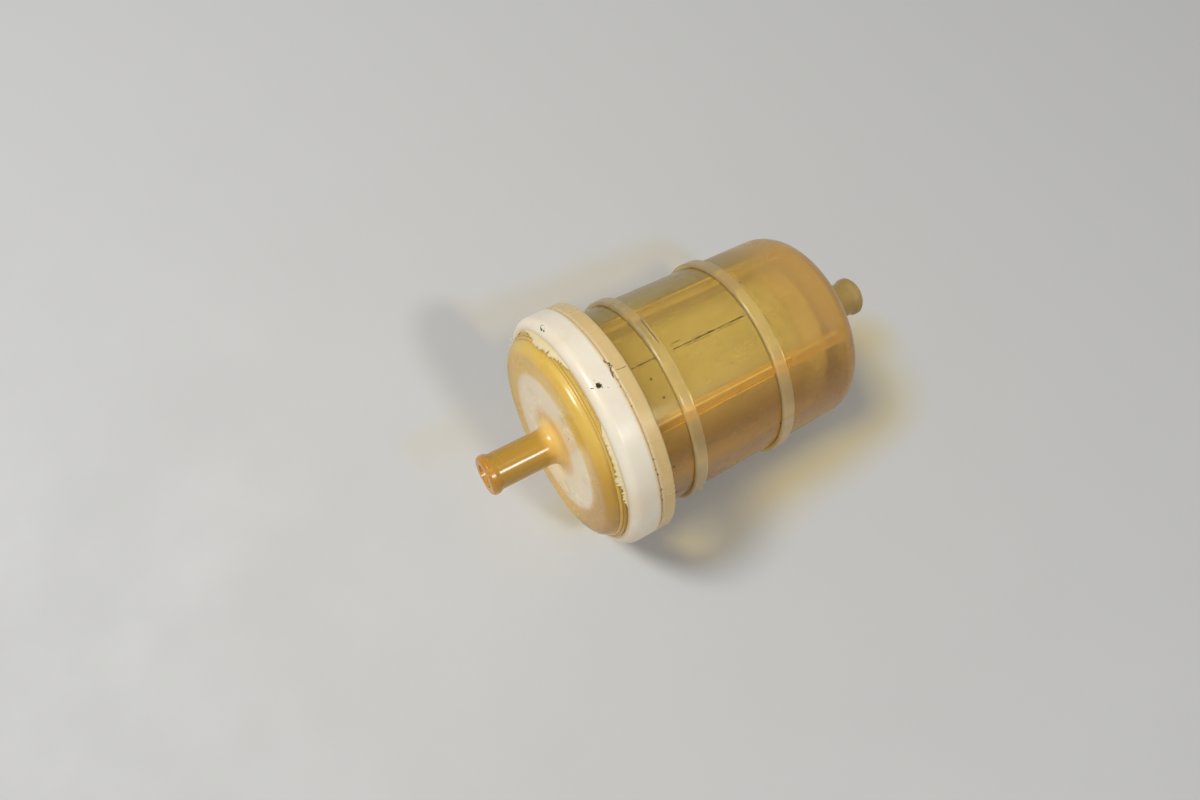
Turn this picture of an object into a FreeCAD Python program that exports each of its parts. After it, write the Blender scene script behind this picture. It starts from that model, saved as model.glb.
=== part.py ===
"""Inline fuel filter: a translucent barrel with a moulded-on joint ring, an inlet cap and a paper element.

Millimetres. The filter's axis is X, from the inlet at -X to the outlet at +X, and +Z is up. The origin is the
middle of the filter's length, on its axis. Every piece is drawn at its station along the axis, counted from the
inlet's tip, and its Placement brings it back by half the length. The parting line of the barrel is at the top.
"""

import FreeCAD, Part
import math
import os
import re

import Sketcher

DRIVERS = {
    # outside of the filter, along the axis from the inlet
    "inlet_spigot_length": 14.4,
    "cap_rise": 3.1,
    "ring_length": 5.6,
    "flange_thickness": 2.9,
    "barrel_length": 46.3,
    "outlet_spigot_length": 12.4,
    # the barrel, and the flange round its mouth
    "barrel_radius": 19.7,
    "flange_overhang": 3.3,
    "barrel_draft": 1.25,
    "barrel_wall": 1.9,
    "dome_corner_radius": 5.4,
    "flange_edge_radius": 0.35,
    "ring_corner_radius": 1.8,
    # the two hoops round the barrel, each placed by its middle behind the flange
    "first_hoop_offset": 7.4,
    "second_hoop_offset": 27.0,
    "hoop_width": 2.6,
    "hoop_height": 0.9,
    "hoop_edge_radius": 0.5,
    # spigots, alike at both ends but for their length
    "spigot_radius": 3.5,
    "spigot_wall": 1.2,
    "bead_height": 0.4,
    "bead_nose": 0.5,
    "bead_land": 0.8,
    "bead_tail": 0.9,
    "bead_edge_radius": 0.2,
    "root_fillet_radius": 2.4,
    # inlet cap: its shoulder stands out past the barrel, its flange past the shoulder
    "cap_wall": 1.8,
    "cap_shoulder_overhang": 0.9,
    "cap_shoulder_rise": 0.7,
    "cap_shoulder_step": 0.8,
    "cap_flange_width": 1.2,
    "cap_flange_thickness": 2.4,
    "cap_corner_radius": 2.2,
    "cap_inner_corner_radius": 0.8,
    # the barrel's mouth goes into the cap
    "pilot_length": 2.6,
    "pilot_clearance": 0.1,
    # ribs inside the barrel that hold the element central
    "rib_count": 5,
    "rib_thickness": 1.5,
    "rib_reach": 2.5,
    "rib_relief": 0.3,
    "rib_clearance": 0.3,
    # element
    "fuel_gap": 2.8,
    "plate_thickness": 1.2,
    "skirt_wall": 1.0,
    "skirt_depth": 3.0,
    "nub_height": 0.8,
    "nub_radius": 1.0,
    "nub_inset": 3.5,
    "nub_count": 5,
    "potting_thickness": 1.2,
    "sleeve_thickness": 0.35,
    "pleat_clearance": 0.1,
    "pleat_count": 30,
    "pleat_tip_width": 1.3,
    "pleat_root_width": 0.84,
    "paper_thickness": 0.3,
    "core_radius": 6.6,
    "core_wall": 1.1,
    "slot_length": 4.4,
    "slot_width": 2.0,
    "slot_rows": 6,
    "slots_around": 6,
    "clip_thickness": 0.25,
    "clip_lip": 1.6,
    # outlet seal
    "collar_radius": 4.6,
    "collar_wall": 1.3,
    "collar_gap": 0.6,
    "grommet_head": 1.5,
    "grommet_wall": 1.7,
    "grommet_brim": 1.3,
    "seat_depth": 2.9,
    "seat_wall": 1.5,
}

DERIVED = {
    # stations along the axis, from the inlet's tip
    "cap_face": "inlet_spigot_length",
    "ring_front": "cap_face + cap_rise",
    "seam": "ring_front + ring_length",
    "flange_rear": "seam + flange_thickness",
    "barrel_end": "flange_rear + barrel_length",
    "overall_length": "barrel_end + outlet_spigot_length",
    # radii of the shells
    "spigot_bore_radius": "spigot_radius - spigot_wall",
    "bead_radius": "spigot_radius + bead_height",
    "flange_radius": "barrel_radius + flange_overhang",
    "cap_shoulder_radius": "barrel_radius + cap_shoulder_overhang",
    "cap_flange_radius": "cap_shoulder_radius + cap_flange_width",
    "cap_dome_radius": "cap_shoulder_radius - cap_shoulder_step",
    "draft_drop": "barrel_length * tan(barrel_draft * 1 deg)",
    "barrel_end_radius": "barrel_radius - draft_drop",
    "mouth_bore_radius": "barrel_radius - barrel_wall",
    "end_bore_radius": "barrel_end_radius - barrel_wall",
    "end_wall_face": "barrel_end - barrel_wall",
    "cap_shoulder_face": "ring_front - cap_shoulder_rise",
    "cap_flange_face": "seam - cap_flange_thickness",
    "cap_inner_face": "cap_face + cap_wall",
    "cap_bore_radius": "cap_shoulder_radius - cap_wall",
    "cap_dome_bore_radius": "cap_dome_radius - cap_wall",
    "cap_bore_end": "cap_shoulder_face + cap_wall",
    "pilot_radius": "cap_bore_radius - pilot_clearance",
    "pilot_front": "seam - pilot_length",
    "rib_front": "pilot_front - rib_reach",
    "plate_radius": "end_bore_radius - fuel_gap",
    "rib_tip_radius": "plate_radius + rib_clearance",
    # element, from the cap's inner face to the seat in the barrel's end
    "inlet_plate_front": "cap_inner_face + nub_height",
    "inlet_plate_back": "inlet_plate_front + plate_thickness",
    "media_front": "inlet_plate_back + potting_thickness",
    "seat_rim": "end_wall_face - seat_depth",
    "outlet_plate_back": "seat_rim - grommet_head",
    "outlet_plate_front": "outlet_plate_back - plate_thickness",
    "media_back": "outlet_plate_front - potting_thickness",
    "collar_end": "end_wall_face - collar_gap",
    "skirt_bore_radius": "plate_radius - skirt_wall",
    "sleeve_bore_radius": "skirt_bore_radius - sleeve_thickness",
    "pleat_tip_radius": "sleeve_bore_radius - pleat_clearance - clip_thickness",
    "pleat_root_radius": "core_radius + pleat_clearance",
    "core_bore_radius": "core_radius - core_wall",
    "collar_bore_radius": "collar_radius - collar_wall",
    "seat_bore_radius": "collar_radius + grommet_wall",
    "seat_radius": "seat_bore_radius + seat_wall",
    "grommet_brim_radius": "seat_bore_radius + grommet_brim",
    "media_length": "media_back - media_front",
    "slot_pitch": "media_length / slot_rows",
    "nub_circle_radius": "plate_radius - nub_inset",
    "skirt_end": "inlet_plate_back + skirt_depth",
    "outlet_skirt_front": "outlet_plate_front - skirt_depth",
}

START, END = 1, 2
ROOT_POINT, H_AXIS, V_AXIS = -1, -1, -2
MATCH = 1e-4


def make_sheet(doc):
    """One spreadsheet row per size: a driver holds a plain number and a derived size holds a formula."""
    sheet = doc.addObject("Spreadsheet::Sheet", "Sizes")
    for row, (alias, value) in enumerate({**DRIVERS, **DERIVED}.items(), start=1):
        cell = f"B{row}"
        sheet.set(f"A{row}", alias)
        sheet.setAlias(cell, alias)
        sheet.set(cell, f"={value}" if alias in DERIVED else str(value))
    doc.recompute()
    return sheet


def bound(expression):
    """The expression with each size's name turned into its cell in the sheet."""
    sizes = {**DRIVERS, **DERIVED}
    return re.sub(r"[a-z_]+", lambda word: f"Sizes.{word[0]}" if word[0] in sizes else word[0], expression)


def amount(item, expression):
    """What an expression of sizes comes to, in millimetres."""
    return FreeCAD.Units.Quantity(item.evalExpression(bound(expression))).Value


# ---- bodies, sketches and features, each bound to the sheet ----


def new_body(doc, name):
    """A body whose label names its file, brought from its station to the middle of the filter."""
    body = doc.addObject("PartDesign::Body", name)
    body.Label = name
    body.setExpression("Placement.Base.x", bound("-overall_length / 2"))
    return body


def origin_feature(body, role):
    """One of the body's own origin planes or axes."""
    return next(item for item in body.Origin.OriginFeatures if item.Role == role)


def new_sketch(body, name, plane, station="0"):
    """An empty sketch on one of the body's origin planes, moved out along that plane's normal."""
    sketch = body.newObject("Sketcher::SketchObject", name)
    sketch.AttachmentSupport = (origin_feature(body, plane), "")
    sketch.MapMode = "FlatFace"
    if station != "0":
        sketch.setExpression("AttachmentOffset.Base.z", bound(station))
    return sketch


def tie(sketch, kind, geometry, point, name, expression):
    """One distance from the sketch's origin to a point, held at an expression; 0 puts it on the axis."""
    if expression == "0":
        axis = V_AXIS if kind == "DistanceX" else H_AXIS
        sketch.addConstraint(Sketcher.Constraint("PointOnObject", geometry, point, axis))
        return
    value = amount(sketch, expression)
    held = Sketcher.Constraint(kind, ROOT_POINT, START, geometry, point, value)
    sketch.renameConstraint(sketch.addConstraint(held), name)
    sketch.setExpression(f"Constraints.{name}", bound(expression))


def outline(sketch, corners, label="corner"):
    """A closed outline of straight sides, its corners given as pairs of expressions."""
    points = [FreeCAD.Vector(amount(sketch, across), amount(sketch, up), 0) for across, up in corners]
    sides = []
    for point, following in zip(points, points[1:] + points[:1]):
        sides.append(sketch.addGeometry(Part.LineSegment(point, following), False))
    for side, following in zip(sides, sides[1:] + sides[:1]):
        sketch.addConstraint(Sketcher.Constraint("Coincident", side, END, following, START))
    for index, (side, (across, up)) in enumerate(zip(sides, corners), start=1):
        tie(sketch, "DistanceX", side, START, f"{label}{index}_across", across)
        tie(sketch, "DistanceY", side, START, f"{label}{index}_up", up)


def revolved(body, name, corners):
    """Turns an outline of (station, radius) corners about the filter's axis."""
    sketch = new_sketch(body, f"{name}_outline", "XZ_Plane")
    outline(sketch, corners)
    turned = body.newObject("PartDesign::Revolution", name)
    turned.Profile = sketch
    turned.ReferenceAxis = (sketch, ["H_Axis"])
    turned.Angle = 360
    body.Document.recompute()
    return turned


def rounded(body, name, places, radius):
    """Rounds the full circles found at (station, radius) places on the body as it stands."""
    base = body.Tip
    edges = []
    for station, circle_radius in places:
        centre = FreeCAD.Vector(amount(base, station), 0, 0)
        wanted = amount(base, circle_radius)
        found = [
            f"Edge{index}"
            for index, edge in enumerate(base.Shape.Edges, start=1)
            if isinstance(edge.Curve, Part.Circle)
            and edge.Curve.Center.distanceToPoint(centre) < MATCH
            and abs(edge.Curve.Radius - wanted) < MATCH
        ]
        if not found:
            raise RuntimeError(f"{name}: no edge at station {station}, radius {circle_radius}")
        edges += found
    fillet = body.newObject("PartDesign::Fillet", name)
    fillet.Base = (base, edges)
    fillet.setExpression("Radius", bound(radius))
    body.Document.recompute()
    return fillet


def patterned(body, name, feature, count):
    """Repeats a feature evenly round the filter's axis."""
    ring = body.newObject("PartDesign::PolarPattern", name)
    ring.Originals = [feature]
    ring.Axis = (origin_feature(body, "X_Axis"), [""])
    ring.Angle = 360
    ring.setExpression("Occurrences", bound(count))
    body.Tip = ring
    body.Document.recompute()
    return ring


def spigot_corners(tip, root, inward):
    """The outside of a beaded hose spigot from its tip to the wall it grows from."""
    nose = f"{tip} {inward} bead_nose"
    land = f"{nose} {inward} bead_land"
    tail = f"{land} {inward} bead_tail"
    return [
        (tip, "spigot_bore_radius"),
        (tip, "spigot_radius"),
        (nose, "bead_radius"),
        (land, "bead_radius"),
        (tail, "spigot_radius"),
        (root, "spigot_radius"),
    ]


def bead_places(tip, inward):
    """The two edges of a spigot's bead that are rounded."""
    nose = f"{tip} {inward} bead_nose"
    return [(nose, "bead_radius"), (f"{nose} {inward} bead_land", "bead_radius")]


# ---- shells ----


def make_inlet_cap(doc):
    """A shallow cup with the inlet spigot on its face and a flange that the joint ring is moulded over."""
    body = new_body(doc, "inlet_cap")
    revolved(
        body,
        "cap_wall_turned",
        spigot_corners("0", "cap_face", "+")
        + [
            ("cap_face", "cap_dome_radius"),
            ("cap_shoulder_face", "cap_dome_radius"),
            ("cap_shoulder_face", "cap_shoulder_radius"),
            ("cap_flange_face", "cap_shoulder_radius"),
            ("cap_flange_face", "cap_flange_radius"),
            ("seam", "cap_flange_radius"),
            ("seam", "cap_bore_radius"),
            ("cap_bore_end", "cap_bore_radius"),
            ("cap_bore_end", "cap_dome_bore_radius"),
            ("cap_inner_face", "cap_dome_bore_radius"),
            ("cap_inner_face", "spigot_bore_radius"),
        ],
    )
    rounded(body, "cap_corner", [("cap_face", "cap_dome_radius")], "cap_corner_radius")
    rounded(body, "cap_inner_corner", [("cap_inner_face", "cap_dome_bore_radius")], "cap_inner_corner_radius")
    rounded(body, "inlet_root", [("cap_face", "spigot_radius")], "root_fillet_radius")
    rounded(body, "inlet_bead", bead_places("0", "+"), "bead_edge_radius")
    return body


def make_joint_ring(doc):
    """The ring moulded over the cap's flange and onto the barrel's flange, which holds the two together."""
    body = new_body(doc, "joint_ring")
    revolved(
        body,
        "ring_turned",
        [
            ("ring_front", "cap_shoulder_radius"),
            ("ring_front", "flange_radius"),
            ("seam", "flange_radius"),
            ("seam", "cap_flange_radius"),
            ("cap_flange_face", "cap_flange_radius"),
            ("cap_flange_face", "cap_shoulder_radius"),
        ],
    )
    rounded(body, "ring_corner", [("ring_front", "flange_radius")], "ring_corner_radius")
    rounded(body, "ring_seam_edge", [("seam", "flange_radius")], "flange_edge_radius")
    return body


def add_hoop(body, name, offset):
    """A raised band round the barrel, its middle at an offset behind the flange."""
    middle = f"flange_rear + {offset}"
    surface = f"barrel_radius - {offset} * tan(barrel_draft * 1 deg)"
    front, rear = f"{middle} - hoop_width / 2", f"{middle} + hoop_width / 2"
    crest = f"{surface} + hoop_height"
    buried = f"{surface} - barrel_wall / 2"
    revolved(body, name, [(front, buried), (front, crest), (rear, crest), (rear, buried)])
    rounded(body, f"{name}_edges", [(front, crest), (rear, crest)], "hoop_edge_radius")


def add_inner_ribs(body):
    """Thin ribs along the inside of the barrel; their front ends reach past the mouth into the cap."""
    sketch = new_sketch(body, "rib_outline", "XZ_Plane")
    half_turn = FreeCAD.Rotation(FreeCAD.Vector(1, 0, 0), 180)
    sketch.AttachmentOffset = FreeCAD.Placement(FreeCAD.Vector(), half_turn)
    inner_corner = "(dome_corner_radius - barrel_wall)"
    corner_middle = f"({inner_corner} + barrel_wall / 2)"
    outline(
        sketch,
        [
            ("rib_front", "rib_tip_radius"),
            ("rib_front", "mouth_bore_radius - rib_relief"),
            ("pilot_front + rib_relief", "mouth_bore_radius - rib_relief"),
            ("pilot_front + rib_relief", "mouth_bore_radius + barrel_wall / 4"),
            ("flange_rear", "mouth_bore_radius + barrel_wall / 4"),
            (f"end_wall_face - {inner_corner}", "end_bore_radius + barrel_wall / 2"),
            (
                f"end_wall_face - {inner_corner} + {corner_middle} * sin(45 deg)",
                f"end_bore_radius - {inner_corner} + {corner_middle} * cos(45 deg)",
            ),
            ("end_wall_face + barrel_wall / 2", "rib_tip_radius"),
        ],
    )
    rib = body.newObject("PartDesign::Pad", "rib")
    rib.Profile = sketch
    rib.Midplane = True
    rib.setExpression("Length", bound("rib_thickness"))
    body.Document.recompute()
    patterned(body, "ribs", rib, "rib_count")


def make_outlet_housing(doc):
    """Barrel, flange, hoops, inner ribs, element seat and outlet spigot, all one moulding."""
    body = new_body(doc, "outlet_housing")
    outer = [
        ("pilot_front", "mouth_bore_radius"),
        ("pilot_front", "pilot_radius"),
        ("seam", "pilot_radius"),
        ("seam", "flange_radius"),
        ("flange_rear", "flange_radius"),
        ("flange_rear", "barrel_radius"),
        ("barrel_end", "barrel_end_radius"),
    ]
    inner = [
        ("end_wall_face", "spigot_bore_radius"),
        ("end_wall_face", "seat_bore_radius"),
        ("seat_rim", "seat_bore_radius"),
        ("seat_rim", "seat_radius"),
        ("end_wall_face", "seat_radius"),
        ("end_wall_face", "end_bore_radius"),
    ]
    spigot = spigot_corners("overall_length", "barrel_end", "-")
    revolved(body, "barrel_turned", outer + spigot[::-1] + inner)
    rounded(body, "dome_corner", [("barrel_end", "barrel_end_radius")], "dome_corner_radius")
    inner_place = [("end_wall_face", "end_bore_radius")]
    rounded(body, "dome_inner_corner", inner_place, "dome_corner_radius - barrel_wall")
    rounded(body, "outlet_root", [("barrel_end", "spigot_radius")], "root_fillet_radius")
    rounded(body, "outlet_bead", bead_places("overall_length", "-"), "bead_edge_radius")
    flange_places = [("seam", "flange_radius"), ("flange_rear", "flange_radius")]
    rounded(body, "flange_edges", flange_places, "flange_edge_radius")
    add_hoop(body, "first_hoop", "first_hoop_offset")
    add_hoop(body, "second_hoop", "second_hoop_offset")
    add_inner_ribs(body)
    return body


# ---- filter element ----


def make_inlet_plate(doc):
    """The closed end plate, with nubs that stand it off the cap so that fuel can spread round it."""
    body = new_body(doc, "element_inlet_plate")
    revolved(
        body,
        "inlet_plate_turned",
        [
            ("inlet_plate_front", "0"),
            ("inlet_plate_front", "plate_radius"),
            ("skirt_end", "plate_radius"),
            ("skirt_end", "skirt_bore_radius"),
            ("inlet_plate_back", "skirt_bore_radius"),
            ("inlet_plate_back", "0"),
        ],
    )
    sketch = new_sketch(body, "nub_outline", "YZ_Plane", "inlet_plate_front")
    centre = FreeCAD.Vector(0, amount(sketch, "nub_circle_radius"), 0)
    circle = Part.Circle(centre, FreeCAD.Vector(0, 0, 1), amount(sketch, "nub_radius"))
    nub_edge = sketch.addGeometry(circle, False)
    centre_point = 3
    tie(sketch, "DistanceX", nub_edge, centre_point, "nub_across", "0")
    tie(sketch, "DistanceY", nub_edge, centre_point, "nub_up", "nub_circle_radius")
    size = Sketcher.Constraint("Radius", nub_edge, amount(sketch, "nub_radius"))
    sketch.renameConstraint(sketch.addConstraint(size), "nub_size")
    sketch.setExpression("Constraints.nub_size", bound("nub_radius"))
    nub = body.newObject("PartDesign::Pad", "nub")
    nub.Profile = sketch
    nub.Reversed = True
    nub.setExpression("Length", bound("nub_height"))
    doc.recompute()
    patterned(body, "nubs", nub, "nub_count")
    return body


def make_outlet_plate(doc):
    """The open end plate, with the collar that carries clean fuel out through the grommet."""
    body = new_body(doc, "element_outlet_plate")
    revolved(
        body,
        "outlet_plate_turned",
        [
            ("outlet_skirt_front", "skirt_bore_radius"),
            ("outlet_skirt_front", "plate_radius"),
            ("outlet_plate_back", "plate_radius"),
            ("outlet_plate_back", "collar_radius"),
            ("collar_end", "collar_radius"),
            ("collar_end", "collar_bore_radius"),
            ("outlet_plate_front", "collar_bore_radius"),
            ("outlet_plate_front", "skirt_bore_radius"),
        ],
    )
    return body


def make_tube(doc, name, front, rear, bore, radius):
    """A plain ring, tube or, with a bore of 0, disc between two stations."""
    body = new_body(doc, name)
    revolved(body, f"{name}_turned", [(front, bore), (front, radius), (rear, radius), (rear, bore)])
    return body


def make_core_tube(doc, rows):
    """The support tube inside the pleats, with rows of slots all round it."""
    body = make_tube(doc, "core_tube", "media_front", "media_back", "core_bore_radius", "core_radius")
    sketch = new_sketch(body, "slot_outline", "XY_Plane")
    for row in range(rows):
        middle = f"media_front + slot_pitch * {row + 0.5}"
        front, rear = f"{middle} - slot_length / 2", f"{middle} + slot_length / 2"
        near, far = "-slot_width / 2", "slot_width / 2"
        outline(sketch, [(front, near), (rear, near), (rear, far), (front, far)], f"row{row + 1}_corner")
    solid_volume = body.Tip.Shape.Volume
    slots = body.newObject("PartDesign::Pocket", "slots")
    slots.Profile = sketch
    slots.setExpression("Length", bound("core_radius"))
    doc.recompute()
    patterned(body, "slots_round", slots, "slots_around")
    if body.Tip.Shape.Volume >= solid_volume:
        raise RuntimeError("the slots cut nothing out of the core tube")
    return body


def make_seam_clip(doc):
    """A folded strip over one pleat's tip, which closes the two ends of the paper."""
    body = new_body(doc, "seam_clip")
    sketch = new_sketch(body, "clip_outline", "YZ_Plane", "media_front")
    inside, outside = "pleat_tip_width / 2", "(pleat_tip_width / 2 + clip_thickness)"
    lip, crown = "pleat_tip_radius - clip_lip", "pleat_tip_radius + clip_thickness"
    right = [(outside, crown), (outside, lip), (inside, lip), (inside, "pleat_tip_radius")]
    left = [(f"-{across}", up) for across, up in right[::-1]]
    outline(sketch, right + left)
    strip = body.newObject("PartDesign::Pad", "strip")
    strip.Profile = sketch
    strip.setExpression("Length", bound("media_length"))
    doc.recompute()
    return body


def fold_line(count, tip_radius, tip_half, root_radius, root_half):
    """One closed zigzag round the axis: two corners at each outer fold, then two at each inner fold."""
    corners = []
    for pleat in range(count):
        folds = ((pleat, tip_radius, tip_half), (pleat + 0.5, root_radius, root_half))
        for turn, radius, half in folds:
            angle = 2 * math.pi * turn / count
            for lateral in (-half, half):
                across = radius * math.sin(angle) + lateral * math.cos(angle)
                up = radius * math.cos(angle) - lateral * math.sin(angle)
                corners.append(FreeCAD.Vector(0, across, up))
    return Part.makePolygon(corners + corners[:1])


def make_pleated_paper(doc, sheet):
    """The folded paper: a band between two zigzags, one paper thickness apart, along the element."""
    paper = sheet.paper_thickness
    tip_half, root_half = sheet.pleat_tip_width / 2, sheet.pleat_root_width / 2
    tip, root, count = sheet.pleat_tip_radius, sheet.pleat_root_radius, round(sheet.pleat_count)
    outside = fold_line(count, tip, tip_half, root + paper, root_half - paper)
    inside = fold_line(count, tip - paper, tip_half - paper, root, root_half)
    section = Part.Face(outside).cut(Part.Face(inside))
    item = doc.addObject("Part::Feature", "pleated_paper")
    item.Label = "pleated_paper"
    item.Shape = section.extrude(FreeCAD.Vector(sheet.media_length, 0, 0))
    station = sheet.media_front - sheet.overall_length / 2
    item.Placement = FreeCAD.Placement(FreeCAD.Vector(station, 0, 0), FreeCAD.Rotation())
    return item


def make_element(doc, sheet):
    """Everything of the paper element that sits between the cap and the barrel's seat."""
    return [
        make_inlet_plate(doc),
        make_tube(doc, "inlet_potting", "inlet_plate_back", "media_front", "0", "skirt_bore_radius"),
        make_pleated_paper(doc, sheet),
        make_tube(doc, "outer_sleeve", "media_front", "media_back", "sleeve_bore_radius", "skirt_bore_radius"),
        make_seam_clip(doc),
        make_core_tube(doc, round(sheet.slot_rows)),
        make_tube(
            doc, "outlet_potting", "media_back", "outlet_plate_front", "core_bore_radius", "skirt_bore_radius"
        ),
        make_outlet_plate(doc),
    ]


def make_grommet(doc):
    """The rubber seal between the element's collar and the cup in the barrel's end."""
    body = new_body(doc, "outlet_grommet")
    revolved(
        body,
        "grommet_turned",
        [
            ("outlet_plate_back", "collar_radius"),
            ("outlet_plate_back", "grommet_brim_radius"),
            ("seat_rim", "grommet_brim_radius"),
            ("seat_rim", "seat_bore_radius"),
            ("collar_end", "seat_bore_radius"),
            ("collar_end", "collar_radius"),
        ],
    )
    return body


def check(doc, pieces):
    """Stops the build if any object failed or any piece isn't one sound solid."""
    for item in doc.Objects:
        if {"Invalid", "Error"} & set(item.State):
            raise RuntimeError(f"{item.Label} failed: {item.State}")
    for piece in pieces:
        shape = piece.Shape
        if shape.isNull() or not shape.isValid() or len(shape.Solids) != 1:
            raise RuntimeError(f"{piece.Label} isn't one sound solid")


def main():
    doc = FreeCAD.newDocument("fuel_filter")
    sheet = make_sheet(doc)
    shells = [make_inlet_cap(doc), make_joint_ring(doc), make_outlet_housing(doc)]
    pieces = shells + make_element(doc, sheet) + [make_grommet(doc)]
    doc.recompute()
    check(doc, pieces)
    os.makedirs("parts", exist_ok=True)
    for piece in pieces:
        piece.Shape.exportStep(f"parts/{piece.Label}.step")
        box = piece.Shape.BoundBox
        print(f"{piece.Label}: X {box.XMin:.2f} to {box.XMax:.2f}, volume {piece.Shape.Volume:.0f} mm3")


main()
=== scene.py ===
# %% [markdown]
# # A translucent inline fuel filter
#
# The filter is an amber nylon barrel and a shallow inlet cap, held together by a white ring moulded over
# their seam. A paper element sits inside. The solid model already has every piece at its real size, so this
# lesson gives each piece its finish and adds what moulding and use leave behind: ragged flash, a parting
# line and dirt.

import math
import random

import bmesh
import bpy
import numpy as np
from mathutils import Matrix, Vector, noise


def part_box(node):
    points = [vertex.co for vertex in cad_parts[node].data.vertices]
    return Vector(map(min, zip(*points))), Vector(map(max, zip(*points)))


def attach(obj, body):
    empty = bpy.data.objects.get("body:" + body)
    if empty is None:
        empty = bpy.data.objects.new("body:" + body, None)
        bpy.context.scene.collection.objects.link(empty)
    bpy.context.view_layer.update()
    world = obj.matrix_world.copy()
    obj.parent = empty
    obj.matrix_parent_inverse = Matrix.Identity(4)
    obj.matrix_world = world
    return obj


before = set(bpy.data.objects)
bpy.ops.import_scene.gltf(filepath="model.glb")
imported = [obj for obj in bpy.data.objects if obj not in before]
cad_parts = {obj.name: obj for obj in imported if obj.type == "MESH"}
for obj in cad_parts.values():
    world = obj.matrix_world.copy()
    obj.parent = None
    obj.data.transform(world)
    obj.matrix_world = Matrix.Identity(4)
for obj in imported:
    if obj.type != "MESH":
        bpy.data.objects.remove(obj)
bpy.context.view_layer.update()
print("pieces in the frame:", sorted(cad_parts))

# %% [markdown]
# Places that the finishes need are read from the packed pieces' boxes, so they follow the solid model. The
# filter lies along X with the inlet at -X, and its parting line is at the top, in the XZ plane. A distance
# along the filter is mostly counted from the seam, where the ring ends and the barrel's flange begins.

# %% Places read from the pieces
MM = 0.001
inlet_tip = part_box("inlet_cap")[0].x
outlet_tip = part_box("outlet_housing")[1].x
ring_low, ring_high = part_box("joint_ring")
ring_front, seam, flange_radius = ring_low.x, ring_high.x, ring_high.z
FLANGE_WIDTH = 2.9 * MM
flange_rear = seam + FLANGE_WIDTH
print(f"seam at {seam / MM:.1f} mm, flange radius {flange_radius / MM:.1f} mm")

# %% [markdown]
# ## A small language for materials
#
# A node material is a sum of simple functions of position. Written as Python expressions it stays readable,
# so this class wraps one output socket and gives it the usual operators. An expression adds the Math nodes
# that work it out.

# %% Sockets that add, multiply and compare
class Value:
    """One output socket of a node, usable in expressions."""

    def __init__(self, maker, socket):
        self.maker, self.socket = maker, socket

    def math(self, operation, *others):
        values = dict(enumerate((self, *others)))
        return self.maker.node("ShaderNodeMath", {"operation": operation}, values)

    def __add__(self, other):
        return self.math("ADD", other)

    def __radd__(self, other):
        return self.math("ADD", other)

    def __sub__(self, other):
        return self.math("SUBTRACT", other)

    def __rsub__(self, other):
        return self.maker.node("ShaderNodeMath", {"operation": "SUBTRACT"}, {0: other, 1: self})

    def __mul__(self, other):
        return self.math("MULTIPLY", other)

    def __rmul__(self, other):
        return self.math("MULTIPLY", other)

    def absolute(self):
        return self.math("ABSOLUTE")

    def maximum(self, other):
        return self.math("MAXIMUM", other)

    def power(self, other):
        return self.math("POWER", other)

    def ramp(self, low, high, start=0.0, end=1.0):
        """Goes smoothly from start to end while this value goes from low to high."""
        settings = {"interpolation_type": "SMOOTHSTEP"}
        sockets = {0: self, 1: low, 2: high, 3: start, 4: end}
        return self.maker.node("ShaderNodeMapRange", settings, sockets)

    def between(self, low, high, edge):
        """1 between low and high, and 0 outside them, with a soft edge of this width."""
        return self.ramp(low, low + edge) * self.ramp(high - edge, high, 1.0, 0.0)


print("besides + - *, a value has", [name for name in vars(Value) if not name.startswith("_")])

# %% [markdown]
# A material on this filter is a surface shader, often with a second one mixed over it: milky nylon over
# clear, or dirt over both. The class below holds one material and has a method for each thing that the
# finishes do more than once. They all add their nodes through node(), so a node is made in one place only.

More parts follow.
